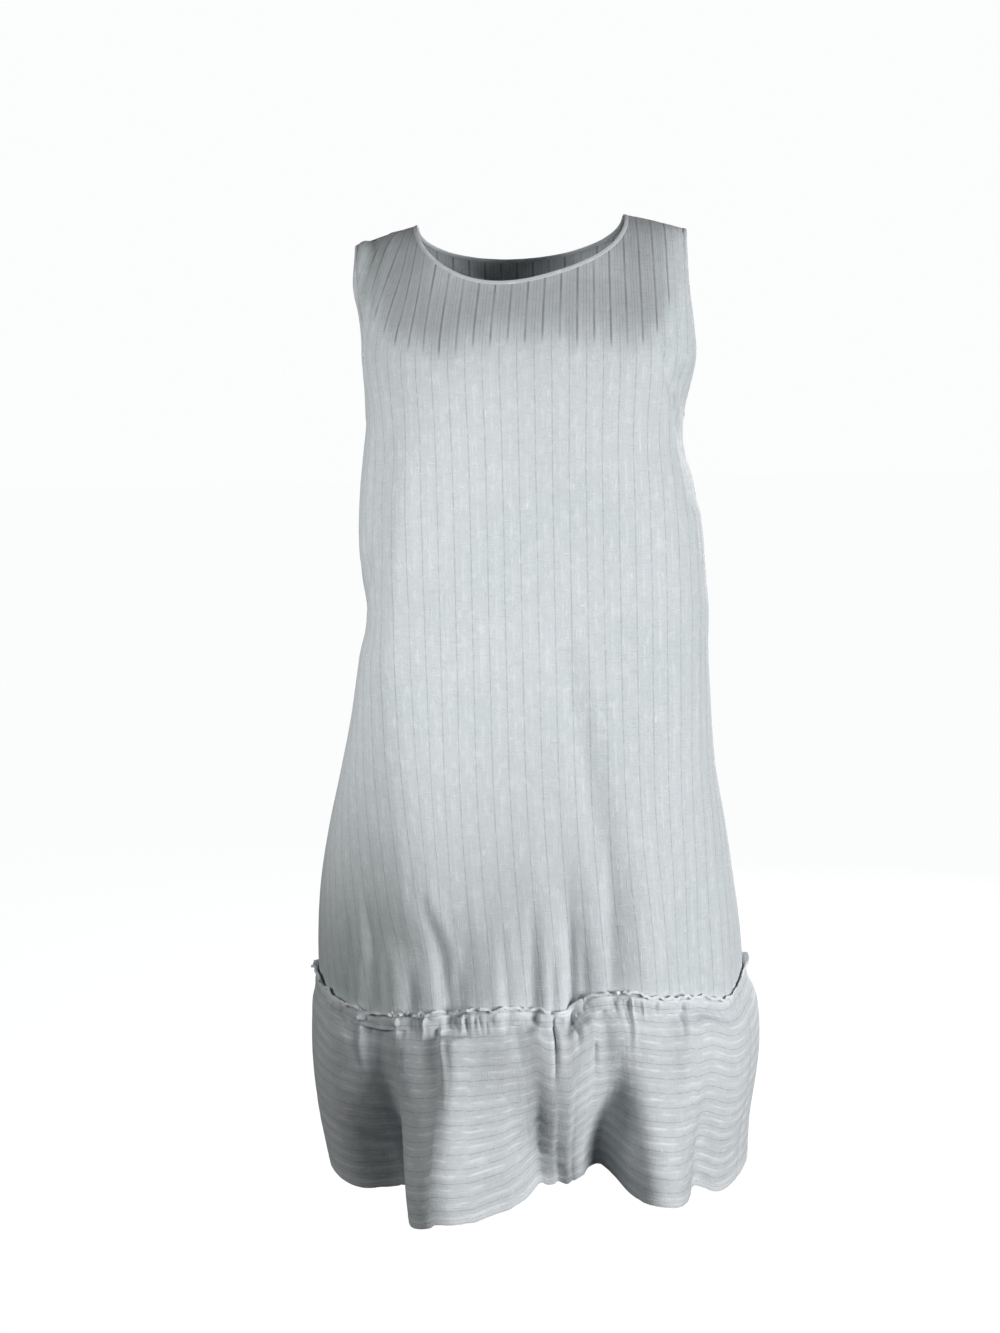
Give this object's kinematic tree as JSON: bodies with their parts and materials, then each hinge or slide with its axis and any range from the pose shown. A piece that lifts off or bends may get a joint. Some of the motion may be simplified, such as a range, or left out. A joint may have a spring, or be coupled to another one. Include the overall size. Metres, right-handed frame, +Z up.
{
  "type": "sleeveless A-line dress",
  "caption": "Sleeveless knee-length A-line linen dress with fine woven stripes, a wide scoop neck and a gathered flounce at the hem, in its worn, hollow form.",
  "frame": {"origin": "midway between the neck ends of the two shoulder seams, at the height where the wearer's shoulders carry the dress", "axes": "+Z up along the worn dress, the front faces -Y, +X towards the wearer's left"},
  "size_m": [0.4396, 0.3819, 0.9282],
  "materials": {
    "linen_lengthwise": "off-white linen with thin grey and satin white stripes along the length",
    "linen_crosswise": "the same off-white linen, its stripes running round the hem",
    "edge_binding": "narrow matte self-fabric binding"
  },
  "bodies": {
    "root": {"front_panel": "linen_lengthwise", "back_panel": "linen_lengthwise", "front_flounce": "linen_crosswise", "back_flounce": "linen_crosswise", "neck_binding": "edge_binding", "armhole_binding_left": "edge_binding", "armhole_binding_right": "edge_binding"}
  },
  "joints": []
}
